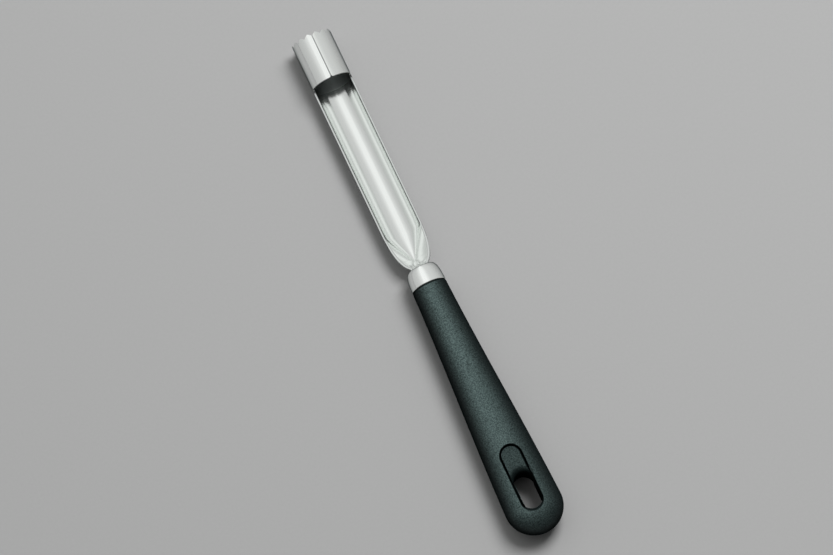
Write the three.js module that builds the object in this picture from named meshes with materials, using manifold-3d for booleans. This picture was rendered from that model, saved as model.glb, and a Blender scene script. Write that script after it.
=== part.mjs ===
// Apple corer: a rolled sheet-steel coring blade, a drawn steel ferrule and a moulded plastic handle.
// The tool lies along Y with its teeth at +Y and its open trough facing +Z, resting on the plane Z = 0.
import * as THREE from "three";
import { mergeVertices } from "three/addons/utils/BufferGeometryUtils.js";
import Module from "manifold-3d";

const wasm = await Module();
wasm.setup();

// Driving dimensions, in millimetres.

// Coring blade: one sheet, rolled into a tube at the tip and left as a half tube behind it.
const SHEET = 0.8;
const TUBE_RADIUS = 8.5; // outside
const HEAD_LENGTH = 20.3; // closed tube, from the tooth tips to the window
const TROUGH_LENGTH = 68.5; // open half tube, from the window to the shoulder
const SHOULDER_LENGTH = 16.6; // where the trough draws in to the neck
const SHOULDER_BEND = 3; // how soon the shoulder's curve turns away from the neck
const NECK_LENGTH = 0.9; // neck seen between the shoulder and the ferrule
const NECK_RADIUS = 3.9; // outside, from the axis to the rims and to the crease, also of the tang
const CREASE_LENGTH = 5.5; // part of the shoulder, next to the ferrule, that is folded to a sharp V
const FOLD_EASE = 0.6; // 1 sharpens the fold evenly along the shoulder, less keeps it round for longer
const TANG_LENGTH = 45; // inside the handle
const WINDOW_FILLET = 1.5; // corner between the window's edge and the trough's rim

// Cutting edge and seam of the tube.
const TOOTH_COUNT = 15;
const TOOTH_HEIGHT = 1.3;
const TOOTH_ROUNDING = 1.25; // 1 is a straight flank, more rounds the tips
const EDGE_BEVEL = 1.8; // length of the bevel ground inside the tube
const EDGE_THICKNESS = 0.15;
const SEAM_GAP = 0.3;
const SEAM_NOTCH_WIDTH = 1.4;
const SEAM_NOTCH_LENGTH = 1.1;

// Holes in the tang that the moulded handle fills, which lock the blade.
const KEY_HOLE_RADIUS = 1.5;
const KEY_POSITIONS = [-14, -32];

// Ferrule: a drawn cup with a domed shoulder.
const FERRULE_LENGTH = 8.3;
const FERRULE_RADIUS = 7.35; // at the handle, which is flush with it
const FERRULE_FACE_RADIUS = 4.9; // flat front face
const DOME_POWER = 2.5; // 2 is a quarter ellipse, more is squarer
const FERRULE_WALL = 0.6;

// Handle: round at the ferrule, a wide oval at the hanging hole, with a half-round end.
const HANDLE_LENGTH = 112.5;
const HANDLE_WIDTH = 24.3;
const HANDLE_THICKNESS = 17;
const HANDLE_FRONT_EDGE = 0.5; // rounding of the front rim
const TAPER_EASE = 0.38; // 0 is a straight taper, 1 a full S-curve
const BELLY_START = 0.6; // share of the taper where the full thickness is reached
const SECTION_POWER = 2.1; // 2 is an ellipse, more is squarer

// Hanging hole, in a shallow recess on both faces.
const RECESS_WIDTH = 9.4;
const RECESS_LENGTH = 28.6;
const RECESS_DEPTH = 1.3;
const HOLE_LENGTH = 16.8;
const HOLE_TO_END = 9.3; // plastic between the hole and the handle's end

const FIT_CLEARANCE = 0.3; // between pieces that fit into each other

// Fineness of the curved surfaces.
const BLADE_SEGMENTS = TOOTH_COUNT * 4;
const FERRULE_SEGMENTS = 48;
const HANDLE_SEGMENTS = 48;
const TAPER_RINGS = 16;
const END_RINGS = 8;
const CURVE_STEPS = 8;
const SHOULDER_STEPS = 16;
const ARC_SEGMENTS = 8;
const OVERCUT = 2; // how far a cutter reaches past what it cuts

// Places along Y, counted from the handle's front face.
const ferruleRearY = FIT_CLEARANCE;
const ferruleFrontY = ferruleRearY + FERRULE_LENGTH;
const shoulderLowY = ferruleFrontY + NECK_LENGTH;
const creaseY = ferruleFrontY + CREASE_LENGTH;
const shoulderHighY = shoulderLowY + SHOULDER_LENGTH;
const windowY = shoulderHighY + TROUGH_LENGTH;
const tipY = windowY + HEAD_LENGTH;
const tangEndY = -TANG_LENGTH;
const handleEndY = -HANDLE_LENGTH;
const holeEndY = handleEndY + HOLE_TO_END;

// How much longer a cut across a right-angled V is than its sheet is thick.
const MITRE = Math.SQRT2;

const { clamp, lerp, smoothstep } = THREE.MathUtils;

// A closed geometry as a solid that can be cut and joined.
function solidFrom(geometry) {
  const bare = geometry.clone();
  bare.deleteAttribute("normal");
  bare.deleteAttribute("uv");
  const merged = mergeVertices(bare, 1e-4);
  const corners = merged.index.array;
  const triVerts = [];
  for (let i = 0; i < corners.length; i += 3) {
    const [a, b, c] = corners.slice(i, i + 3);
    if (a !== b && b !== c && c !== a) triVerts.push(a, b, c);
  }
  return new wasm.Manifold(
    new wasm.Mesh({
      numProp: 3,
      vertProperties: merged.attributes.position.array,
      triVerts: new Uint32Array(triVerts),
    }),
  );
}

// A finished solid as a flat-shaded geometry.
function geometryFrom(solid) {
  const { vertProperties, triVerts } = solid.getMesh();
  const geometry = new THREE.BufferGeometry();
  geometry.setAttribute("position", new THREE.BufferAttribute(vertProperties, 3));
  geometry.setIndex(new THREE.BufferAttribute(triVerts, 1));
  geometry.computeVertexNormals();
  return geometry;
}

// A box between two corners.
function box([x0, y0, z0], [x1, y1, z1]) {
  const geometry = new THREE.BoxGeometry(x1 - x0, y1 - y0, z1 - z0);
  geometry.translate((x0 + x1) / 2, (y0 + y1) / 2, (z0 + z1) / 2);
  return solidFrom(geometry);
}

// A shape drawn in the plane of X and Y, raised from one height to another.
function prism(shape, lowZ, highZ) {
  const depth = highZ - lowZ;
  const geometry = new THREE.ExtrudeGeometry(shape, {
    depth,
    bevelEnabled: false,
    curveSegments: ARC_SEGMENTS,
  });
  geometry.translate(0, 0, lowZ);
  return solidFrom(geometry);
}

// An upright round post, centred at one place along Y.
function post(radius, y, lowZ, highZ) {
  const shape = new THREE.Shape().absarc(0, y, radius, 0, 2 * Math.PI);
  return prism(shape, lowZ, highZ);
}

// A polyline moved to its right-hand side by a distance, with mitred corners.
function offsetLine(points, distance) {
  return points.map((point, i) => {
    const before = points[Math.max(i - 1, 0)];
    const after = points[Math.min(i + 1, points.length - 1)];
    const into = new THREE.Vector2().subVectors(point, before).normalize();
    const out = new THREE.Vector2().subVectors(after, point).normalize();
    if (i === 0) into.copy(out);
    if (i === points.length - 1) out.copy(into);
    const side = new THREE.Vector2(into.y + out.y, -into.x - out.x).normalize();
    const stretch = 1 / (side.x * out.y - side.y * out.x);
    return point.clone().addScaledVector(side, distance * stretch);
  });
}

// The blade.

// How far the cutting edge lies behind the tooth tips at a turn angle from +Z.
// The seam at +Z falls in a valley.
function toothDrop(angle) {
  const turns = (angle / (2 * Math.PI)) * TOOTH_COUNT;
  const fromTip = 2 * Math.abs(turns - Math.floor(turns) - 0.5);
  return TOOTH_HEIGHT * fromTip ** TOOTH_ROUNDING;
}

// Radius of the section's round bottom, as a share of the sheet's radius: 1 in the trough, 0 at the crease.
function bottomShare(y) {
  return clamp((y - creaseY) / (shoulderHighY - creaseY), 0, 1) ** FOLD_EASE;
}

// Angle from the vertical of the line square to a folded section's straight flank, from rim to round bottom.
function flankAngle(share) {
  const depth = 1 - share;
  return Math.atan2(depth, 1) + Math.asin(share / Math.hypot(1, depth));
}

// How much nearer to the axis a folded section lies than a round one, at an angle from the bottom.
function foldScale(angle, share) {
  const depth = 1 - share;
  const flank = flankAngle(share);
  const bend = Math.atan2(share * Math.sin(flank), depth + share * Math.cos(flank));
  if (angle > Math.PI / 2) return 1;
  if (angle > bend) return Math.sin(flank) / Math.cos(angle - flank);
  return depth * Math.cos(angle) + Math.sqrt(share ** 2 - (depth * Math.sin(angle)) ** 2);
}

// The whole sheet as a closed tube, from the end of the tang to the teeth.
function bladeTube() {
  const shoulder = new THREE.QuadraticBezierCurve(
    new THREE.Vector2(NECK_RADIUS, shoulderLowY),
    new THREE.Vector2(TUBE_RADIUS, shoulderLowY + SHOULDER_BEND),
    new THREE.Vector2(TUBE_RADIUS, shoulderHighY),
  );
  const outside = [
    new THREE.Vector2(NECK_RADIUS, tangEndY),
    ...shoulder.getPoints(SHOULDER_STEPS),
    new THREE.Vector2(TUBE_RADIUS, tipY),
  ];
  const inside = offsetLine(outside, -SHEET).reverse();
  for (const point of inside) point.x -= SHEET / Math.sin(flankAngle(bottomShare(point.y))) - SHEET;
  const groundEdge = [
    new THREE.Vector2(TUBE_RADIUS - EDGE_THICKNESS, tipY),
    new THREE.Vector2(inside[0].x, tipY - EDGE_BEVEL),
  ];
  const profile = [...outside, ...groundEdge, ...inside.slice(1), outside[0]];
  const geometry = new THREE.LatheGeometry(profile, BLADE_SEGMENTS);

  const place = geometry.getAttribute("position");
  const edgeStartY = tipY - EDGE_BEVEL - EDGE_THICKNESS;
  for (let i = 0; i < place.count; i++) {
    const [x, y, z] = [place.getX(i), place.getY(i), place.getZ(i)];
    const fold = foldScale(Math.atan2(Math.abs(x), -z), bottomShare(y));
    const drop = y < edgeStartY ? 0 : toothDrop(Math.atan2(x, z));
    place.setXYZ(i, x * fold, y - drop, z * fold);
  }
  return solidFrom(geometry);
}

// What is cut away above the trough and the tang: everything over the rim, up to the window's edge.
// It is drawn in side view, along Y and Z, and turned to run across X.
function windowCutter() {
  const reach = TUBE_RADIUS + OVERCUT;
  const backY = tangEndY - OVERCUT;
  const side = new THREE.Shape();
  side.moveTo(backY, 0);
  side.lineTo(windowY - WINDOW_FILLET, 0);
  side.absarc(windowY - WINDOW_FILLET, WINDOW_FILLET, WINDOW_FILLET, -Math.PI / 2, 0);
  side.lineTo(windowY, reach);
  side.lineTo(backY, reach);
  const geometry = new THREE.ExtrudeGeometry(side, {
    depth: 2 * reach,
    bevelEnabled: false,
    curveSegments: ARC_SEGMENTS,
  });
  geometry.translate(0, 0, -reach);
  geometry.rotateY(Math.PI / 2);
  geometry.rotateX(Math.PI / 2);
  return solidFrom(geometry);
}

// The slit where the rolled sheet's two edges meet, widened to a notch at the window.
function seamCutter() {
  const shape = new THREE.Shape();
  shape.moveTo(-SEAM_NOTCH_WIDTH / 2, windowY - OVERCUT);
  shape.lineTo(SEAM_NOTCH_WIDTH / 2, windowY - OVERCUT);
  shape.lineTo(SEAM_NOTCH_WIDTH / 2, windowY);
  shape.lineTo(SEAM_GAP / 2, windowY + SEAM_NOTCH_LENGTH);
  shape.lineTo(SEAM_GAP / 2, tipY + OVERCUT);
  shape.lineTo(-SEAM_GAP / 2, tipY + OVERCUT);
  shape.lineTo(-SEAM_GAP / 2, windowY + SEAM_NOTCH_LENGTH);
  shape.lineTo(-SEAM_NOTCH_WIDTH / 2, windowY);
  return prism(shape, TUBE_RADIUS / 2, TUBE_RADIUS + OVERCUT);
}

function coringBlade() {
  let blade = bladeTube().subtract(windowCutter()).subtract(seamCutter());
  for (const y of KEY_POSITIONS) {
    blade = blade.subtract(post(KEY_HOLE_RADIUS, y, -NECK_RADIUS - OVERCUT, 0));
  }
  return geometryFrom(blade);
}

// The ferrule.

// The dome's outline from the rear rim to the front face, drawn smaller by an inset on every side.
function domeLine(inset) {
  const width = FERRULE_RADIUS - FERRULE_FACE_RADIUS - inset;
  const length = FERRULE_LENGTH - inset;
  const line = [];
  for (let i = 0; i <= CURVE_STEPS; i++) {
    const angle = ((i / CURVE_STEPS) * Math.PI) / 2;
    const across = width * Math.cos(angle) ** (2 / DOME_POWER);
    const along = length * Math.sin(angle) ** (2 / DOME_POWER);
    line.push(new THREE.Vector2(FERRULE_FACE_RADIUS + across, ferruleRearY + along));
  }
  return line;
}

// The V-shaped space that the neck or tang takes, with its clearance, between two places along Y.
function tangSpace(lowY, highY) {
  const outer = NECK_RADIUS + FIT_CLEARANCE * MITRE;
  const inner = NECK_RADIUS - (SHEET + FIT_CLEARANCE) * MITRE;
  const section = new THREE.Shape();
  section.moveTo(-outer, FIT_CLEARANCE);
  section.lineTo(-outer, 0);
  section.lineTo(0, -outer);
  section.lineTo(outer, 0);
  section.lineTo(outer, FIT_CLEARANCE);
  section.lineTo(inner, FIT_CLEARANCE);
  section.lineTo(inner, 0);
  section.lineTo(0, -inner);
  section.lineTo(-inner, 0);
  section.lineTo(-inner, FIT_CLEARANCE);
  const geometry = new THREE.ExtrudeGeometry(section, { depth: highY - lowY, bevelEnabled: false });
  geometry.rotateX(Math.PI / 2);
  geometry.translate(0, highY, 0);
  return solidFrom(geometry);
}

function ferrule() {
  const outside = domeLine(0);
  const inside = domeLine(FERRULE_WALL).reverse();
  const profile = [
    new THREE.Vector2(0, ferruleFrontY - FERRULE_WALL),
    ...inside,
    ...outside,
    new THREE.Vector2(0, ferruleFrontY),
  ];
  const cup = solidFrom(new THREE.LatheGeometry(profile, FERRULE_SEGMENTS));
  return geometryFrom(cup.subtract(tangSpace(ferruleRearY, ferruleFrontY + OVERCUT)));
}

// The handle.

// One oval ring of the handle, as points round Y.
function ovalRing({ y, halfWidth, halfThickness, power }) {
  const ring = [];
  for (let i = 0; i < HANDLE_SEGMENTS; i++) {
    const angle = ((i + 0.5) / HANDLE_SEGMENTS) * 2 * Math.PI;
    const [c, s] = [Math.cos(angle), Math.sin(angle)];
    const x = halfWidth * Math.sign(c) * Math.abs(c) ** (2 / power);
    const z = halfThickness * Math.sign(s) * Math.abs(s) ** (2 / power);
    ring.push(new THREE.Vector3(x, y, z));
  }
  return ring;
}

// The rings from the ferrule to the handle's end.
function handleRings() {
  const endRadius = HANDLE_WIDTH / 2;
  const taperLength = HANDLE_LENGTH - endRadius;
  const belly = HANDLE_THICKNESS / 2;
  const frontRim = FERRULE_RADIUS - HANDLE_FRONT_EDGE;
  const rings = [{ y: 0, halfWidth: frontRim, halfThickness: frontRim, power: 2 }];
  for (let i = 0; i <= TAPER_RINGS; i++) {
    const u = i / TAPER_RINGS;
    const widening = lerp(u, smoothstep(u, 0, 1), TAPER_EASE);
    const thickening = smoothstep(u, 0, BELLY_START);
    rings.push({
      y: lerp(-HANDLE_FRONT_EDGE, -taperLength, u),
      halfWidth: lerp(FERRULE_RADIUS, endRadius, widening),
      halfThickness: lerp(FERRULE_RADIUS, belly, thickening),
      power: lerp(2, SECTION_POWER, thickening),
    });
  }
  for (let i = 1; i < END_RINGS; i++) {
    const angle = ((i / END_RINGS) * Math.PI) / 2;
    rings.push({
      y: -taperLength - endRadius * Math.sin(angle),
      halfWidth: endRadius * Math.cos(angle),
      halfThickness: belly * Math.cos(angle),
      power: SECTION_POWER,
    });
  }
  return rings;
}

// A solid skinned over rings of equal point counts, closed by a point at each end.
function skin(rings, firstPoint, lastPoint) {
  const points = [firstPoint, ...rings.flat(), lastPoint];
  const count = rings[0].length;
  const last = points.length - 1;
  const at = (ring, i) => 1 + ring * count + (i % count);
  const faces = [];
  for (let i = 0; i < count; i++) {
    faces.push(0, at(0, i + 1), at(0, i));
    for (let ring = 0; ring + 1 < rings.length; ring++) {
      faces.push(at(ring, i), at(ring, i + 1), at(ring + 1, i));
      faces.push(at(ring, i + 1), at(ring + 1, i + 1), at(ring + 1, i));
    }
    faces.push(last, at(rings.length - 1, i), at(rings.length - 1, i + 1));
  }
  const geometry = new THREE.BufferGeometry().setFromPoints(points);
  geometry.setIndex(faces);
  return solidFrom(geometry);
}

// A slot outline with half-round ends, between two places along Y.
function slotShape(width, lowY, highY) {
  const r = width / 2;
  const shape = new THREE.Shape();
  shape.absarc(0, lowY + r, r, Math.PI, 2 * Math.PI);
  shape.absarc(0, highY - r, r, 0, Math.PI);
  return shape;
}

// The plug of plastic inside the ferrule, which carries it.
function spigot() {
  const side = domeLine(FERRULE_WALL + FIT_CLEARANCE);
  const profile = [
    new THREE.Vector2(0, -OVERCUT),
    new THREE.Vector2(side[0].x, -OVERCUT),
    ...side,
    new THREE.Vector2(0, side[side.length - 1].y),
  ];
  return solidFrom(new THREE.LatheGeometry(profile, FERRULE_SEGMENTS));
}

// The recess on both faces and the hole through it.
function hangingHoleCutter() {
  const past = HANDLE_THICKNESS / 2 + OVERCUT;
  const floorZ = HANDLE_THICKNESS / 2 - RECESS_DEPTH;
  const recess = slotShape(RECESS_WIDTH, holeEndY, holeEndY + RECESS_LENGTH);
  const hole = slotShape(RECESS_WIDTH, holeEndY, holeEndY + HOLE_LENGTH);
  return prism(recess, floorZ, past).add(prism(recess, -past, -floorZ)).add(prism(hole, -past, past));
}

function handle() {
  const rings = handleRings().map(ovalRing);
  const front = new THREE.Vector3(0, 0, 0);
  const end = new THREE.Vector3(0, handleEndY, 0);
  let body = skin(rings, front, end).add(spigot());
  body = body.subtract(tangSpace(tangEndY - FIT_CLEARANCE, ferruleFrontY));
  const keyLowZ = -NECK_RADIUS - FIT_CLEARANCE * MITRE - OVERCUT;
  const keyHighZ = -NECK_RADIUS + (SHEET + FIT_CLEARANCE) * MITRE + OVERCUT;
  for (const y of KEY_POSITIONS) {
    body = body.add(post(KEY_HOLE_RADIUS - FIT_CLEARANCE, y, keyLowZ, keyHighZ));
  }
  return geometryFrom(body.subtract(hangingHoleCutter()));
}

// Materials and assembly.

const polishedSteel = new THREE.MeshStandardMaterial({ color: 0xd4d8d4, roughness: 0.22, metalness: 1 });
const ferruleSteel = new THREE.MeshStandardMaterial({ color: 0xdadcda, roughness: 0.15, metalness: 1 });
const blackPlastic = new THREE.MeshStandardMaterial({ color: 0x1c2122, roughness: 0.55, metalness: 0 });

function piece(name, geometry, material) {
  const mesh = new THREE.Mesh(geometry, material);
  mesh.name = name;
  return mesh;
}

const corer = new THREE.Group();
corer.add(piece("coring_blade", coringBlade(), polishedSteel));
corer.add(piece("ferrule", ferrule(), ferruleSteel));
corer.add(piece("handle", handle(), blackPlastic));

// The origin is under the middle of the tool's length, on the plane it rests on.
const restHeight = Math.max(TUBE_RADIUS, HANDLE_THICKNESS / 2);
corer.position.set(0, -(tipY + handleEndY) / 2, restHeight);

export default corer;
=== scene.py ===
"""Apple corer laid on a pale table: a polished coring blade, a domed ferrule and a matt black handle."""

import math

import bmesh
import bpy
from mathutils import Matrix, Vector


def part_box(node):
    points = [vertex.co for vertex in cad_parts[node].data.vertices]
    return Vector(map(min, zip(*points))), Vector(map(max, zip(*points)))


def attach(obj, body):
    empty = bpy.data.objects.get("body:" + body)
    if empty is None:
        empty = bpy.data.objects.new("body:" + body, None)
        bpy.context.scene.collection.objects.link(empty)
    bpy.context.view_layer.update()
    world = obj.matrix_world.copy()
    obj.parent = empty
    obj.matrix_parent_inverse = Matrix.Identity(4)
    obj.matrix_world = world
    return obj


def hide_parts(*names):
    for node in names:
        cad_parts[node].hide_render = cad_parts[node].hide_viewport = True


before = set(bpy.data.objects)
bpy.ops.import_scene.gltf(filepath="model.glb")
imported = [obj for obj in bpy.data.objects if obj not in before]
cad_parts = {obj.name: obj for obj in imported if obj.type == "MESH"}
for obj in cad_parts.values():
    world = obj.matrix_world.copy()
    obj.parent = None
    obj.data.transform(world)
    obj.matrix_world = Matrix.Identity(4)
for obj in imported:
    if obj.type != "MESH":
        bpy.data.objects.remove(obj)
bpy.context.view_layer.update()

# Sizes in millimetres, as in the part's source. The tool lies along Y with its teeth at +Y.
# Y is counted from the handle's front face and Z from the tool's axis.
MM = 0.001
FIT = 0.3  # clearance between pieces
WELD = 0.0005  # points of a cut mesh that are nearer than this become one
SHEET_SHARP = 18  # edges that turn by more degrees than this are drawn sharp, on the blade
SHARP = 30  # and on the other pieces

# Coring blade
SHEET = 0.8
TUBE_RADIUS = 8.5
HEAD_LENGTH = 20.3
TROUGH_LENGTH = 68.5
SHOULDER_LENGTH = 16.6
SHOULDER_BEND = 3  # how soon the shoulder's curve turns away from the neck
NECK_LENGTH = 0.9
NECK_RADIUS = 3.9
CREASE_LENGTH = 5.5
CREASE_ROUND = 0.03  # least radius of the fold, as a share of the sheet's radius
FOLD_EASE = 0.6  # 1 sharpens the fold evenly along the shoulder, less keeps it round for longer
TANG_LENGTH = 45
WINDOW_FILLET = 1.5
SHEET_ROUND = 0.1
ROUND_LIMIT = 0.45  # most that an edge's rounding takes of the sheet's thickness
RIM_DEPTH = 0.3
RIM_OUTSIDE = 0.15
RIM_INSIDE = 0.35
TOOTH_COUNT = 15
TOOTH_HEIGHT = 1.3
TOOTH_ROUNDING = 1.25  # 1 is a straight flank, more rounds the tips
EDGE_BEVEL = 1.8
EDGE_THICKNESS = 0.15
SEAM_GAP = 0.08
SEAM_ROUND = 0.22
SEAM_CORNER = 0.75

# Ferrule
FERRULE_LENGTH = 8.3
FERRULE_RADIUS = 7.35
FERRULE_FACE_RADIUS = 4.9
DOME_POWER = 2.5  # 2 is a quarter ellipse, more is squarer
FERRULE_WALL = 0.6
FERRULE_ROUND = 0.2

# Handle
HANDLE_LENGTH = 112.5
HANDLE_WIDTH = 24.3
HANDLE_THICKNESS = 17
HANDLE_FRONT_EDGE = 0.5
TAPER_EASE = 0.38  # 0 is a straight taper, 1 a full S-curve
BELLY_START = 0.6  # share of the taper where the full thickness is reached
SECTION_POWER = 2.1  # 2 is an ellipse, more is squarer

# Recess on both faces of the handle, and the hanging hole in it
RECESS_WIDTH = 9.7
RECESS_LENGTH = 28.6
RECESS_DEPTH = 1.3
RECESS_SHIFT = -0.33
RECESS_LIP = 0.3
RECESS_WALL_INSET = 0.1
RECESS_DRAFT = 0.1
RECESS_END_RUN = 0.9
RECESS_END_DRAFT = 2.6
GROOVE_WIDTH = 0.75
GROOVE_END_WIDTH = 0.4
GROOVE_DEPTH = 1.8
GROOVE_ROUND = 0.15
HOLE_WIDTH = 7.8
HOLE_LENGTH = 16
HOLE_END_INSET = 0.4
HOLE_TO_END = 9.3
HOLE_LIP_LENGTH = 3.6
HOLE_LIP_DEPTH = 3.2
HOLE_DRAFT = 0.9
PAST_FERRULE = 1  # how far a cutter reaches past the ferrule, and past the handle's faces
PAST_HANDLE = 2

# Places along Y
FERRULE_REAR = FIT
FERRULE_FRONT = FERRULE_REAR + FERRULE_LENGTH
SHOULDER_LOW = FERRULE_FRONT + NECK_LENGTH
CREASE = FERRULE_FRONT + CREASE_LENGTH
SHOULDER_HIGH = SHOULDER_LOW + SHOULDER_LENGTH
WINDOW = SHOULDER_HIGH + TROUGH_LENGTH
TIP = WINDOW + HEAD_LENGTH
HANDLE_END = -HANDLE_LENGTH
HOLE_END = HANDLE_END + HOLE_TO_END

MITRE = math.sqrt(2)  # a cut across a right-angled V against its sheet's thickness

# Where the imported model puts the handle's front face and the tool's axis.
blade_low, blade_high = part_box("coring_blade")
ferrule_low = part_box("ferrule")[0]
front_face = ferrule_low.y - FERRULE_REAR * MM
axis_height = (blade_low.z + blade_high.z) / 2
TO_FRAME = Matrix.Translation((0, front_face, axis_height)) @ Matrix.Scale(MM, 4)


def smoothstep(u):
    u = min(max(u, 0), 1)
    return u * u * (3 - 2 * u)


def lerp(a, b, u):
    return a + (b - a) * u


# Meshes


def new_object(name, points, faces):
    mesh = bpy.data.meshes.new(name)
    mesh.from_pydata([tuple(p) for p in points], [], faces)
    shell = bmesh.new()
    shell.from_mesh(mesh)
    bmesh.ops.recalc_face_normals(shell, faces=shell.faces)
    shell.to_mesh(mesh)
    shell.free()
    obj = bpy.data.objects.new(name, mesh)
    bpy.context.scene.collection.objects.link(obj)
    return obj


def cut(obj, cutter, finish):
    """Takes a cutter's space out of an object, gives the cut faces a finish and removes the cutter."""
    cutter.data.materials.append(finish)
    boolean = obj.modifiers.new("cut", "BOOLEAN")
    boolean.operation = "DIFFERENCE"
    boolean.solver = "EXACT"
    boolean.material_mode = "TRANSFER"
    boolean.object = cutter
    graph = bpy.context.evaluated_depsgraph_get()
    result = bpy.data.meshes.new_from_object(obj.evaluated_get(graph))
    obj.modifiers.clear()
    obj.data = result
    bpy.data.objects.remove(cutter)


def finish_piece(obj, node, sharp_degrees):
    """Welds a finished shape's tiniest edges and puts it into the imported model's frame, for a node."""
    shell = bmesh.new()
    shell.from_mesh(obj.data)
    bmesh.ops.remove_doubles(shell, verts=shell.verts, dist=WELD)
    shell.to_mesh(obj.data)
    shell.free()
    obj.data.transform(TO_FRAME)
    obj.data.shade_smooth()
    obj.data.set_sharp_from_angle(angle=math.radians(sharp_degrees))
    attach(obj, "root")
    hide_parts(node)


def skin(name, rings, first, last):
    """A closed solid over rings of equal point counts, closed by a point at each end."""
    points = [first]
    for ring in rings:
        points.extend(ring)
    points.append(last)
    count = len(rings[0])
    top = len(points) - 1
    faces = []
    for i in range(count):
        j = (i + 1) % count
        faces.append((0, 1 + i, 1 + j))
        for r in range(len(rings) - 1):
            a = 1 + r * count
            b = a + count
            faces.append((a + i, b + i, b + j, a + j))
        a = 1 + (len(rings) - 1) * count
        faces.append((top, a + j, a + i))
    return new_object(name, points, faces)


def circle(radius, y, count):
    turn = 2 * math.pi / count
    return [
        (radius * math.cos(i * turn), y, radius * math.sin(i * turn))
        for i in range(count)
    ]


def tang_space(low_y, high_y):
    """The V-shaped slot that the neck and tang take, as a cutter."""
    inner = NECK_RADIUS - (SHEET + FIT) * MITRE
    outer = NECK_RADIUS + FIT * MITRE
    section = [(-outer, FIT), (-inner, FIT), (-inner, 0), (0, -inner), (inner, 0), (inner, FIT)]
    section += [(outer, FIT), (outer, 0), (0, -outer), (-outer, 0)]
    count = len(section)
    points = [(x, y, z) for y in (low_y, high_y) for x, z in section]
    faces = [(i, (i + 1) % count, count + (i + 1) % count, count + i) for i in range(count)]
    faces.append(tuple(range(count)))
    faces.append(tuple(range(2 * count - 1, count - 1, -1)))
    return new_object("tang_space", points, faces)


# Coring blade, whose faces have one of four finishes; the bore's darker colour is painted shade inside
# the head's tube

OUTSIDE, INSIDE, BORE, EDGE = range(4)


def tooth_drop(turn):
    """How far the edge lies behind the tooth tips, at an angle from the seam, which is in a valley."""
    teeth = turn / (2 * math.pi) * TOOTH_COUNT
    from_tip = 2 * abs(teeth - math.floor(teeth) - 0.5)
    return TOOTH_HEIGHT * from_tip**TOOTH_ROUNDING


def bottom_share(y):
    """Radius of the section's round bottom as a share of the sheet's, which is least at the crease."""
    along = min(max((y - CREASE) / (SHOULDER_HIGH - CREASE), 0), 1)
    return max(along**FOLD_EASE, CREASE_ROUND)


def flank_angle(share):
    """Angle from the vertical of the line square to a folded section's straight flank."""
    depth = 1 - share
    return math.atan2(depth, 1) + math.asin(share / math.hypot(1, depth))


def fold_scale(angle, share):
    """How much nearer to the axis a folded section is than a round one, at an angle from the bottom."""
    depth = 1 - share
    flank = flank_angle(share)
    bend = math.atan2(share * math.sin(flank), depth + share * math.cos(flank))
    angle = abs(angle)
    if angle > math.pi / 2:
        return 1
    if angle > bend:
        return math.sin(flank) / math.cos(angle - flank)
    return depth * math.cos(angle) + math.sqrt(share**2 - (depth * math.sin(angle)) ** 2)


def sheet_line():
    """The trough's outer and inner line, from the window to the tang's end, as (radius, y)."""
    line = []
    start = WINDOW - WINDOW_FILLET
    straight_rows = 16
    for i in range(straight_rows):
        line.append((TUBE_RADIUS, lerp(start, SHOULDER_HIGH, i / straight_rows)))
    shoulder_rows = 44
    for i in range(shoulder_rows + 1):
        t = i / shoulder_rows
        a, b, c = (1 - t) ** 2, 2 * t * (1 - t), t * t
        radius = (a + b) * TUBE_RADIUS + c * NECK_RADIUS
        y = a * SHOULDER_HIGH + b * (SHOULDER_LOW + SHOULDER_BEND) + c * SHOULDER_LOW
        line.append((radius, y))
    neck_rows = 12
    neck_step = 0.25
    for i in range(1, neck_rows + 1):
        line.append((NECK_RADIUS, SHOULDER_LOW - i * neck_step))
    low = line[-1][1]
    tang_rows = 8
    for i in range(1, tang_rows + 1):
        line.append((NECK_RADIUS, lerp(low, -TANG_LENGTH, i / tang_rows)))

    # The corner between shoulder and neck is rounded by averaging.
    corner = straight_rows + shoulder_rows
    reach = 8
    rounds = 10
    for _ in range(rounds):
        smoothed = list(line)
        for i in range(corner - reach, corner + reach + 1):
            radius = (line[i - 1][0] + 2 * line[i][0] + line[i + 1][0]) / 4
            y = (line[i - 1][1] + 2 * line[i][1] + line[i + 1][1]) / 4
            smoothed[i] = (radius, y)
        line = smoothed

    inner = []
    for i, (radius, y) in enumerate(line):
        before = line[max(i - 1, 0)]
        after = line[min(i + 1, len(line) - 1)]
        along = Vector((after[0] - before[0], after[1] - before[1])).normalized()
        inner_y = y - along.x * SHEET
        mitre = SHEET / math.sin(flank_angle(bottom_share(inner_y))) - SHEET
        inner.append((radius + along.y * SHEET - mitre, inner_y))
    return line, inner


def blade_columns():
    """Angles from the trough's bottom, with both rims among them and the seam's edges at the ends."""
    columns_per_tooth = 16
    near_crease = [0.5, 1, 2.2]
    near_rim = [90.4, 90.8]
    near_seam = 0.5
    step = 360 / TOOTH_COUNT / columns_per_tooth
    seam = 180 - math.degrees(math.asin((SEAM_GAP / 2 + SEAM_ROUND) / TUBE_RADIUS))
    half = [i * step for i in range(1, int(seam / step) + 1)]
    half += near_crease + near_rim + [seam - near_seam, seam]
    half = sorted(a for a in set(half) if a <= seam)
    return [math.radians(a) for a in [-a for a in reversed(half)] + [0] + half]


def window_edge(x, z):
    """Where the head's sheet ends at the window, for a point of the tube above its axis."""
    if z < WINDOW_FILLET:
        reach = (WINDOW_FILLET + SHEET_ROUND) ** 2 - (WINDOW_FILLET - z) ** 2
        return WINDOW - WINDOW_FILLET + math.sqrt(max(reach, 0))
    edge = WINDOW + SHEET_ROUND
    corner = SEAM_CORNER - SHEET_ROUND
    from_seam = abs(x) - SEAM_GAP / 2 - SEAM_ROUND
    if from_seam < corner:
        edge += corner - math.sqrt(max(corner**2 - (corner - from_seam) ** 2, 0))
    return edge


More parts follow.
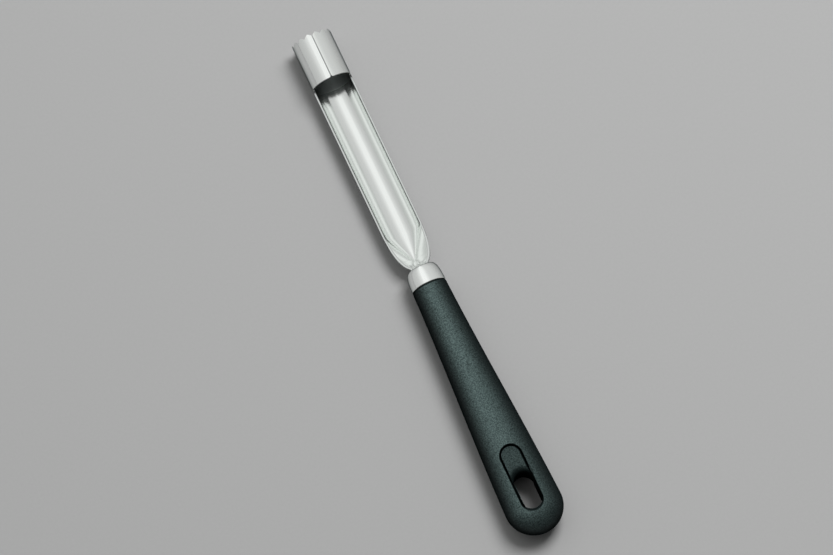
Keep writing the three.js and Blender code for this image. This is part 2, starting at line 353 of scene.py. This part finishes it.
def head_rows(edge_y, end_y):
    """Places along one column of the head: the ground bevel, then the plain tube to the window."""
    bevel_rows = 4
    plain_rows = 12
    last_step = 0.12
    rows = [edge_y - EDGE_BEVEL * i / bevel_rows for i in range(bevel_rows + 1)]
    start = rows[-1]
    rows += [lerp(start, end_y + last_step, i / plain_rows) for i in range(1, plain_rows + 1)]
    return rows + [end_y]


def build_blade(materials):
    """The sheet's outer and inner faces, column by column, joined by a rounded border."""
    columns = blade_columns()
    rim = math.pi / 2
    rims = [min(range(len(columns)), key=lambda i: abs(columns[i] - side * rim)) for side in (-1, 1)]
    outer_line, inner_line = sheet_line()
    inner_radius = TUBE_RADIUS - SHEET
    points = []

    def put(radius, angle, y):
        radius *= fold_scale(angle, bottom_share(y))
        points.append(Vector((radius * math.sin(angle), y, -radius * math.cos(angle))))
        return len(points) - 1

    def rim_angle(radius, column):
        angle = columns[column]
        if column in rims:
            return math.copysign(math.acos(RIM_DEPTH / radius), angle)
        return angle

    head = []
    trough = {}
    for c, angle in enumerate(columns):
        in_trough = rims[0] <= c <= rims[1]
        x = TUBE_RADIUS * math.sin(angle)
        z = -TUBE_RADIUS * math.cos(angle)
        end = WINDOW - WINDOW_FILLET if in_trough else window_edge(x, z)
        edge = TIP - tooth_drop(math.pi - angle)
        column = []
        for y in head_rows(edge, end):
            ground = min((edge - y) / EDGE_BEVEL, 1)
            bore = lerp(TUBE_RADIUS - EDGE_THICKNESS, inner_radius, ground)
            at_end = y == end and in_trough
            turn_outer = rim_angle(TUBE_RADIUS, c) if at_end else angle
            turn_inner = rim_angle(bore, c) if at_end else angle
            column.append((put(TUBE_RADIUS, turn_outer, y), put(bore, turn_inner, y)))
        head.append(column)
        if not in_trough:
            continue
        trough[c] = [column[-1]]
        for (ro, yo), (ri, yi) in zip(outer_line[1:], inner_line[1:]):
            trough[c].append((put(ro, rim_angle(ro, c), yo), put(ri, rim_angle(ri, c), yi)))

    faces = []
    finishes = []

    def sheet(left, right, inside_finish):
        for (a, b), (c, d) in zip(zip(left, left[1:]), zip(right, right[1:])):
            faces.append((a[0], b[0], d[0], c[0]))
            faces.append((a[1], b[1], d[1], c[1]))
            finishes.extend((OUTSIDE, inside_finish))

    for c in range(len(columns) - 1):
        sheet(head[c], head[c + 1], BORE)
        if c in trough and c + 1 in trough:
            sheet(trough[c], trough[c + 1], INSIDE)

    # The border as one closed loop: rim, window, seam, teeth and back again, then the tang's end.
    left, right = rims
    last = len(columns) - 1
    seam_edges = {pair for column in (head[0], head[last]) for pair in column}
    rim_edges = {pair for column in (trough[left], trough[right]) for pair in column}
    loop = list(reversed(trough[right]))
    loop += [head[c][-1] for c in range(right + 1, last + 1)]
    loop += list(reversed(head[last][:-1]))
    loop += [head[c][0] for c in range(last - 1, -1, -1)]
    loop += head[0][1:]
    loop += [head[c][-1] for c in range(1, left)]
    loop += trough[left]
    loop += [trough[c][-1] for c in range(left + 1, right)]

    # A rounded profile across the sheet's thickness at every place of the loop.
    arc_steps = 6
    profiles = []
    for i, (o, n) in enumerate(loop):
        before = points[loop[i - 1][0]]
        after = points[loop[(i + 1) % len(loop)][0]]
        inward = points[n] - points[o]
        thickness = inward.length
        inward.normalize()
        out = (after - before).cross(inward).normalized()
        edge_round = SEAM_ROUND if (o, n) in seam_edges else SHEET_ROUND
        rise = outside = inside = min(edge_round, ROUND_LIMIT * thickness)
        if (o, n) in rim_edges:
            rise, outside = RIM_DEPTH, RIM_OUTSIDE
            inside = min(RIM_INSIDE, thickness - 2 * RIM_OUTSIDE)
        turns = [math.pi / 2 * s / arc_steps for s in range(1, arc_steps + 1)]
        profile = [o]
        for a in turns:
            points.append(points[o] + out * rise * math.sin(a) + inward * outside * (1 - math.cos(a)))
            profile.append(len(points) - 1)
        for a in reversed(turns):
            points.append(points[n] + out * rise * math.sin(a) - inward * inside * (1 - math.cos(a)))
            profile.append(len(points) - 1)
        profiles.append(profile + [n])
    for i, profile in enumerate(profiles):
        following = profiles[(i + 1) % len(profiles)]
        for j in range(len(profile) - 1):
            faces.append((profile[j], profile[j + 1], following[j + 1], following[j]))
            finishes.append(EDGE)
    blade = new_object("blade", points, faces)
    for material in materials:
        blade.data.materials.append(material)
    blade.data.polygons.foreach_set("material_index", finishes)
    return blade


# Ferrule


def dome_line(inset, steps):
    """The dome's outline as (radius, y), from the rear rim to the front face, smaller by an inset."""
    line = []
    for i in range(steps + 1):
        a = math.pi / 2 * i / steps
        across, along = math.cos(a) ** (2 / DOME_POWER), math.sin(a) ** (2 / DOME_POWER)
        radius = FERRULE_FACE_RADIUS + (FERRULE_RADIUS - FERRULE_FACE_RADIUS - inset) * across
        line.append((radius, FERRULE_REAR + (FERRULE_LENGTH - inset) * along))
    return line


def build_ferrule(finish):
    """A thin domed cup with a rounded rear rim, open in front for the neck."""
    steps = 60
    rim_steps = 6
    count = 128
    rim = []
    for i in range(rim_steps):
        a = math.pi / 2 * i / rim_steps
        rim.append((
            FERRULE_RADIUS - FERRULE_ROUND * (1 - math.sin(a)),
            FERRULE_REAR + FERRULE_ROUND * (1 - math.cos(a)),
        ))
    inside = list(reversed(dome_line(FERRULE_WALL, steps)))
    outside = [(r, y) for r, y in dome_line(0, steps) if y > FERRULE_REAR + FERRULE_ROUND]
    rings = [circle(r, y, count) for r, y in inside + rim + outside]
    first = (0, FERRULE_FRONT - FERRULE_WALL, 0)
    last = (0, FERRULE_FRONT, 0)
    cup = skin("ferrule_cup", rings, first, last)
    cup.data.materials.append(finish)
    cut(cup, tang_space(FERRULE_REAR, FERRULE_FRONT + PAST_FERRULE), finish)
    return cup


# Handle


def handle_section(y):
    """Half width, half thickness and squareness of the handle at a place along it."""
    end_radius = HANDLE_WIDTH / 2
    taper = HANDLE_LENGTH - end_radius
    belly = HANDLE_THICKNESS / 2
    if -y > taper:
        share = math.sqrt(max(1 - ((-y - taper) / end_radius) ** 2, 0))
        return end_radius * share, belly * share, SECTION_POWER
    u = max(-y - HANDLE_FRONT_EDGE, 0) / (taper - HANDLE_FRONT_EDGE)
    widening = lerp(u, smoothstep(u), TAPER_EASE)
    thickening = smoothstep(u / BELLY_START)
    return (
        lerp(FERRULE_RADIUS, end_radius, widening),
        lerp(FERRULE_RADIUS, belly, thickening),
        lerp(2, SECTION_POWER, thickening),
    )


def surface_height(x, y):
    """Height of the handle's upper face above the tool's axis."""
    half_width, half_thickness, power = handle_section(y)
    return half_thickness * max(1 - abs(x / half_width) ** power, 0) ** (1 / power)


def oval(y, count):
    """One ring of the handle."""
    half_width, half_thickness, power = handle_section(y)
    ring = []
    for i in range(count):
        a = 2 * math.pi * (i + 0.5) / count
        c, s = math.cos(a), math.sin(a)
        x = half_width * math.copysign(abs(c) ** (2 / power), c)
        z = half_thickness * math.copysign(abs(s) ** (2 / power), s)
        ring.append((x, y, z))
    return ring


def handle_rings(count):
    """The plug inside the ferrule, the rounded front rim, the taper and the half-round end."""
    plug_steps = 12
    rings = []
    for radius, y in reversed(dome_line(FERRULE_WALL + FIT, plug_steps)):
        rings.append(circle(radius, y, count))
    rings.append(circle(FERRULE_RADIUS - FERRULE_WALL - FIT, 0, count))
    front_steps = 6
    for i in range(front_steps):
        a = math.pi / 2 * i / front_steps
        radius = FERRULE_RADIUS - HANDLE_FRONT_EDGE * (1 - math.sin(a))
        rings.append(circle(radius, -HANDLE_FRONT_EDGE * (1 - math.cos(a)), count))
    taper = HANDLE_LENGTH - HANDLE_WIDTH / 2
    taper_rings = 90
    for i in range(taper_rings):
        rings.append(oval(lerp(-HANDLE_FRONT_EDGE, -taper, i / taper_rings), count))
    end_rings = 28
    for i in range(end_rings):
        a = math.pi / 2 * i / end_rings
        rings.append(oval(-taper - HANDLE_WIDTH / 2 * math.sin(a), count))
    return rings


def slot_border(width, low_y, high_y):
    """Points round a slot with half-round ends, each with its outward direction."""
    r = width / 2
    arc_steps = 40
    side_steps = 24
    border = []
    for i in range(arc_steps):
        a = math.pi * i / arc_steps
        border.append((r * math.cos(a), high_y - r + r * math.sin(a), math.cos(a), math.sin(a)))
    for i in range(side_steps):
        border.append((-r, lerp(high_y - r, low_y + r, i / side_steps), -1, 0))
    for i in range(arc_steps):
        a = math.pi + math.pi * i / arc_steps
        border.append((r * math.cos(a), low_y + r + r * math.sin(a), math.cos(a), math.sin(a)))
    for i in range(side_steps):
        border.append((r, lerp(low_y + r, high_y - r, i / side_steps), 1, 0))
    return border


def ring_along(border, height, offset):
    """One ring of a cutter: a border moved outward by offset(its direction's Y), at height(x, y)."""
    ring = []
    for x, y, nx, ny in border:
        move = offset(ny)
        px, py = x + nx * move, y + ny * move
        ring.append((px, py, height(px, py)))
    return ring


def recess_cutter(side):
    """The shallow recess on one face: rounded lip, steep wall, groove along its foot and flat floor."""
    outline = slot_border(RECESS_WIDTH, HOLE_END - RECESS_END_RUN, HOLE_END + RECESS_LENGTH)
    border = [(x + RECESS_SHIFT, y, nx, ny) for x, y, nx, ny in outline]
    floor = HANDLE_THICKNESS / 2 - RECESS_DEPTH
    above = HANDLE_THICKNESS / 2 + PAST_HANDLE
    wall_top = -RECESS_WALL_INSET
    flare_top, flare, skim = 0.5, 0.2, 0.04
    steps = 6
    rings = []

    def add(offset, height):
        ring = ring_along(border, height, offset)
        rings.append([(x, y, side * z) for x, y, z in ring])

    def foot(ny):
        return wall_top - lerp(RECESS_DRAFT, RECESS_END_DRAFT, smoothstep(-ny))

    def groove(ny):
        return lerp(GROOVE_WIDTH, GROOVE_END_WIDTH, smoothstep(ny))

    # Above the lip the cutter opens a little, so that it leaves the face at a slant.
    add(lambda ny: wall_top + RECESS_LIP + flare_top, lambda x, y: above)
    add(lambda ny: wall_top + RECESS_LIP + flare, lambda x, y: surface_height(x, y) + skim)
    for i in range(steps + 1):
        a = math.pi / 2 * i / steps
        out = RECESS_LIP * (1 - math.sin(a))
        drop = RECESS_LIP * (1 - math.cos(a))
        add(lambda ny: wall_top + out, lambda x, y: surface_height(x, y) - drop)
    add(foot, lambda x, y: floor - GROOVE_DEPTH)
    for i in range(steps + 1):
        a = math.pi / 2 * i / steps
        round_in = GROOVE_ROUND * (1 - math.cos(a))
        drop = GROOVE_ROUND * (1 - math.sin(a))
        add(lambda ny: foot(ny) - groove(ny) - round_in, lambda x, y: floor - drop)
    middle = HOLE_END + RECESS_LENGTH / 2
    top = (RECESS_SHIFT, middle, side * above)
    return skin("recess", rings, top, (RECESS_SHIFT, middle, side * floor))


def hole_cutter():
    """The hanging hole, a little wider below, with a rounded lip where the recess runs into it."""
    border = slot_border(HOLE_WIDTH, HOLE_END + HOLE_END_INSET, HOLE_END + HOLE_LENGTH)
    floor = HANDLE_THICKNESS / 2 - RECESS_DEPTH
    above = HANDLE_THICKNESS / 2 + PAST_HANDLE
    flare_top, flare, skim = 0.2, 0.15, 0.03
    steps = 8
    lip = [(HOLE_LIP_LENGTH + flare_top, above), (HOLE_LIP_LENGTH + flare, floor + skim)]
    for i in range(steps + 1):
        a = math.pi / 2 * i / steps
        lip.append((HOLE_LIP_LENGTH * (1 - math.sin(a)), floor - HOLE_LIP_DEPTH * (1 - math.cos(a))))
    rings = []
    for out, z in lip + [(out, -z) for out, z in reversed(lip)]:
        wider = HOLE_DRAFT * (above - z) / (2 * above)
        rings.append(ring_along(border, lambda x, y: z, lambda ny: wider + out * max(ny, 0)))
    middle = HOLE_END + HOLE_LENGTH / 2
    return skin("hole", rings, (0, middle, above), (0, middle, -above))


def build_handle(outside, recess_finish):
    count = 144
    first = (0, FERRULE_FRONT - FERRULE_WALL - FIT, 0)
    grip = skin("grip", handle_rings(count), first, (0, HANDLE_END, 0))
    grip.data.materials.append(outside)
    cut(grip, tang_space(-TANG_LENGTH - FIT, FERRULE_FRONT), outside)
    for cutter in (recess_cutter(1), recess_cutter(-1), hole_cutter()):
        cut(grip, cutter, recess_finish)
    return grip


# Materials, with noise scales counted per metre and bump depths in metres

EVEN = (1, 1, 1)
WHITE = (1, 1, 1)
# Edge tint for steel seen edge on, far darker than real steel's: painted shade that stands in for the
# dark table mirrored in the tool's sides
PAINTED_EDGE_SHADE = (0.1, 0.12, 0.12)

LINE_STRETCH = (5000, 90, 5000)
LINE_STRENGTH = 0.06
LINE_DEPTH = 0.00002
CLOUD_STRETCH = (1, 0.5, 1)
CLOUD_SCALE = 160
STEEL_DETAIL = 3

GRAIN_SCALE = 1900
GRAIN_DETAIL = 1
GRAIN_STRENGTH = 0.8
GRAIN_DEPTH = 0.00015
PATCH_SCALE = 700
PATCH_DETAIL = 3
PLASTIC_DARK = (0.001, 0.002, 0.002)
PLASTIC_LIGHT = (0.010, 0.015, 0.015)
PLASTIC_ROUGHNESS = (0.48, 0.58)
PLASTIC_IOR = 1.6
PLASTIC_GLOSS_TINT = (0.72, 1, 0.98)
GLOSS_BLEND = 0.861  # how soon the gloss fades from face on to edge on
GLOSS_FADE_START = -0.9  # below 0, so that the fade is already under way face on
SPECKLE_NOISE = (0.3, 0.7)  # range of the grain that is turned into stronger and weaker gloss
SPECKLE_GLOSS = (0.5, 1.5)
HANDLE_GLOSS = 2.13
RECESS_GLOSS = 1


class Nodes:
    """A material's node tree, with short calls to add and join nodes."""

    def __init__(self, name):
        self.material = bpy.data.materials.new(name)
        self.material.use_nodes = True
        self.tree = self.material.node_tree
        self.shader = self.tree.nodes["Principled BSDF"]

    def add(self, kind, **inputs):
        node = self.tree.nodes.new(kind)
        for key, value in inputs.items():
            node.inputs[key.replace("_", " ")].default_value = value
        return node

    def join(self, source, output, target, socket):
        self.tree.links.new(source.outputs[output], target.inputs[socket])

    def stretched(self, scale):
        """Object coordinates stretched by a scale along each axis."""
        place = self.add("ShaderNodeTexCoord")
        mapping = self.add("ShaderNodeMapping", Scale=scale)
        self.join(place, "Object", mapping, "Vector")
        return mapping

    def noise(self, mapping, scale, detail):
        """Noise from 0 to 1 over a mapping."""
        noise = self.add("ShaderNodeTexNoise", Scale=scale, Detail=detail)
        self.join(mapping, "Vector", noise, "Vector")
        return noise

    def ramp(self, source, low, high):
        """A value from 0 to 1 turned into one between two numbers."""
        node = self.add("ShaderNodeMapRange", To_Min=low, To_Max=high)
        self.join(source, 0, node, "Value")
        return node

    def tint(self, source, dark, light):
        """A value turned into a colour between two."""
        node = self.tree.nodes.new("ShaderNodeMix")
        node.data_type = "RGBA"
        node.inputs["A"].default_value = (*dark, 1)
        node.inputs["B"].default_value = (*light, 1)
        self.join(source, 0, node, "Factor")
        return node

    def bump(self, source, strength, depth):
        """A value used as the surface's height."""
        node = self.add("ShaderNodeBump", Strength=strength, Distance=depth)
        self.join(source, 0, node, "Height")
        self.join(node, "Normal", self.shader, "Normal")


def steel(name, dark, light, rough_low, rough_high, edge_tint):
    """Polished stainless: fine polishing lines along the tool and faint cloudy differences in gloss."""
    nodes = Nodes(name)
    nodes.shader.inputs["Metallic"].default_value = 1
    # A dark edge tint is painted shade: it darkens the steel's mirrored surroundings where the surface
    # is seen edge on.
    nodes.shader.inputs["Specular Tint"].default_value = (*edge_tint, 1)
    lines = nodes.noise(nodes.stretched(LINE_STRETCH), 1, STEEL_DETAIL)
    clouds = nodes.noise(nodes.stretched(CLOUD_STRETCH), CLOUD_SCALE, STEEL_DETAIL)
    nodes.join(nodes.tint(clouds, dark, light), "Result", nodes.shader, "Base Color")
    nodes.join(nodes.ramp(clouds, rough_low, rough_high), "Result", nodes.shader, "Roughness")
    nodes.bump(lines, LINE_STRENGTH, LINE_DEPTH)
    return nodes.material


def black_plastic(name, top_gloss):
    """Moulded plastic with a fine spark-eroded grain, whose gloss fades where it is seen edge on."""
    nodes = Nodes(name)
    even = nodes.stretched(EVEN)
    grain = nodes.noise(even, GRAIN_SCALE, GRAIN_DETAIL)
    patches = nodes.noise(even, PATCH_SCALE, PATCH_DETAIL)
    colour = nodes.tint(grain, PLASTIC_DARK, PLASTIC_LIGHT)
    nodes.join(colour, "Result", nodes.shader, "Base Color")
    nodes.join(nodes.ramp(patches, *PLASTIC_ROUGHNESS), "Result", nodes.shader, "Roughness")
    nodes.shader.inputs["IOR"].default_value = PLASTIC_IOR
    nodes.shader.inputs["Specular Tint"].default_value = (*PLASTIC_GLOSS_TINT, 1)
    edge_on = nodes.add("ShaderNodeLayerWeight", Blend=GLOSS_BLEND)
    face_on = 1 - smoothstep(-GLOSS_FADE_START / (1 - GLOSS_FADE_START))
    start_gloss = top_gloss / face_on
    gloss = nodes.add("ShaderNodeMapRange", From_Min=GLOSS_FADE_START, To_Min=start_gloss, To_Max=0)
    gloss.interpolation_type = "SMOOTHSTEP"
    nodes.join(edge_on, "Facing", gloss, "Value")
    speckle = nodes.ramp(grain, *SPECKLE_GLOSS)
    speckle.inputs["From Min"].default_value, speckle.inputs["From Max"].default_value = SPECKLE_NOISE
    speckled = nodes.add("ShaderNodeMath")
    speckled.operation = "MULTIPLY"
    nodes.join(gloss, "Result", speckled, 0)
    nodes.join(speckle, "Result", speckled, 1)
    nodes.join(speckled, "Value", nodes.shader, "Specular IOR Level")
    nodes.bump(grain, GRAIN_STRENGTH, GRAIN_DEPTH)
    return nodes.material


# The table, the light and the camera

TABLE_REACH = 4
TABLE_DARK = (0.33, 0.33, 0.33)
TABLE_LIGHT = (0.35, 0.35, 0.35)
TABLE_ROUGHNESS = 0.9
TABLE_GLOSS = 0.1
FIBRE_SCALE = 900
FIBRE_DETAIL = 4


def build_table():
    low, high = -TABLE_REACH, TABLE_REACH
    corners = [(low, low, 0), (high, low, 0), (high, high, 0), (low, high, 0)]
    table = new_object("table", corners, [(0, 1, 2, 3)])
    nodes = Nodes("table_paper")
    fibres = nodes.noise(nodes.stretched(EVEN), FIBRE_SCALE, FIBRE_DETAIL)
    nodes.join(nodes.tint(fibres, TABLE_DARK, TABLE_LIGHT), "Result", nodes.shader, "Base Color")
    nodes.shader.inputs["Roughness"].default_value = TABLE_ROUGHNESS
    nodes.shader.inputs["Specular IOR Level"].default_value = TABLE_GLOSS
    table.data.materials.append(nodes.material)


# The studio's sky, as brightness against the angle about the tool's axis, in degrees from straight up.
SKY = [
    (-88, 0.49),
    (-60, 0.55),
    (-49, 0.59),
    (-38, 0.68),
    (-26, 0.78),
    (-21, 0.92),
    (1, 0.92),
    (17, 0.74),
    (29, 0.64),
    (52, 0.60),
    (88, 0.49),
]
SKY_GREEN = 1.01  # green against red and blue
SKY_BACK = 0.1  # share of the brightness that is left behind the camera
SKY_BACK_START = 0.12  # Y of the direction where the sky starts to dim, and where it is dimmest
SKY_BACK_END = -0.2

KEY_PLACE = (0.66, 0.5, 1.45)
KEY_SIZE = 0.8
KEY_WATTS = 29


def build_sky():
    """A soft arch over the tool, brightest along its axis and dimmer behind the camera."""
    world = bpy.data.worlds.new("studio")
    world.use_nodes = True
    tree = world.node_tree

    def add(kind, *sources):
        node = tree.nodes.new(kind)
        for socket, source in zip(node.inputs, sources):
            tree.links.new(source, socket)
        return node

    place = add("ShaderNodeTexCoord")
    split = add("ShaderNodeSeparateXYZ", place.outputs["Generated"])
    turn = add("ShaderNodeMath", split.outputs["X"], split.outputs["Z"])
    turn.operation = "ARCTAN2"
    share = add("ShaderNodeMapRange", turn.outputs[0])
    share.inputs["From Min"].default_value = -math.pi / 2
    share.inputs["From Max"].default_value = math.pi / 2
    arch = add("ShaderNodeValToRGB", share.outputs[0])
    stops = arch.color_ramp.elements
    while len(stops) < len(SKY):
        stops.new(0.5)
    for stop, (degrees, level) in zip(stops, SKY):
        stop.position = 0.5 + degrees / 180
        stop.color = (level, level * SKY_GREEN, level, 1)
    depth = add("ShaderNodeMapRange", split.outputs["Y"])
    depth.interpolation_type = "SMOOTHSTEP"
    depth.inputs["From Min"].default_value = SKY_BACK_END
    depth.inputs["From Max"].default_value = SKY_BACK_START
    depth.inputs["To Min"].default_value = SKY_BACK
    background = tree.nodes["Background"]
    tree.links.new(arch.outputs["Color"], background.inputs["Color"])
    tree.links.new(depth.outputs[0], background.inputs["Strength"])
    bpy.context.scene.world = world


def build_key_light():
    """A soft box on the right, which the steel doesn't mirror."""
    light = bpy.data.lights.new("key", "AREA")
    light.size = KEY_SIZE
    light.energy = KEY_WATTS
    obj = bpy.data.objects.new("key", light)
    obj.location = KEY_PLACE
    obj.rotation_euler = Vector(KEY_PLACE).to_track_quat("Z", "Y").to_euler()
    obj.visible_glossy = False
    bpy.context.scene.collection.objects.link(obj)


CAMERA_AZIMUTH = -24.72
CAMERA_ELEVATION = 75
CAMERA_TARGET = (-0.00222, 0.00633, 0.00124)
VIEW_WIDTH = 0.3372
LENS = 600
SENSOR_WIDTH = 36


def build_camera():
    """The photo's view: from the handle's side, well above the table, through a long lens."""
    azimuth = math.radians(CAMERA_AZIMUTH)
    elevation = math.radians(CAMERA_ELEVATION)
    camera = bpy.data.cameras.new("camera")
    camera.lens = LENS
    camera.sensor_width = SENSOR_WIDTH
    distance = VIEW_WIDTH * LENS / SENSOR_WIDTH
    back = Vector((
        math.sin(azimuth) * math.cos(elevation),
        -math.cos(azimuth) * math.cos(elevation),
        math.sin(elevation),
    ))
    obj = bpy.data.objects.new("camera", camera)
    obj.location = Vector(CAMERA_TARGET) + back * distance
    obj.rotation_euler = back.to_track_quat("Z", "Y").to_euler()
    bpy.context.scene.collection.objects.link(obj)
    bpy.context.scene.camera = obj


# The whole scene

build_camera()
build_table()
build_sky()
build_key_light()

blade_finishes = [
    steel("blade_outside", (0.89, 0.91, 0.895), (0.93, 0.95, 0.935), 0.09, 0.14, PAINTED_EDGE_SHADE),
    steel("blade_inside", (0.88, 0.90, 0.885), (0.92, 0.94, 0.925), 0.11, 0.17, WHITE),
    # The bore's dark base colour is painted shade inside the head's tube.
    steel("blade_bore_painted_shade", (0.44, 0.46, 0.455), (0.56, 0.59, 0.585), 0.28, 0.4, PAINTED_EDGE_SHADE),
    steel("blade_edge", (0.66, 0.68, 0.67), (0.72, 0.74, 0.73), 0.16, 0.24, WHITE),
]
ferrule_steel = steel("ferrule_steel", (0.93, 0.95, 0.935), (0.96, 0.98, 0.965), 0.07, 0.11, PAINTED_EDGE_SHADE)
handle_plastic = black_plastic("handle_plastic", HANDLE_GLOSS)
recess_plastic = black_plastic("recess_plastic", RECESS_GLOSS)

finish_piece(build_blade(blade_finishes), "coring_blade", SHEET_SHARP)
finish_piece(build_ferrule(ferrule_steel), "ferrule", SHARP)
finish_piece(build_handle(handle_plastic, recess_plastic), "handle", SHARP)

bpy.context.scene.view_settings.view_transform = "Standard"
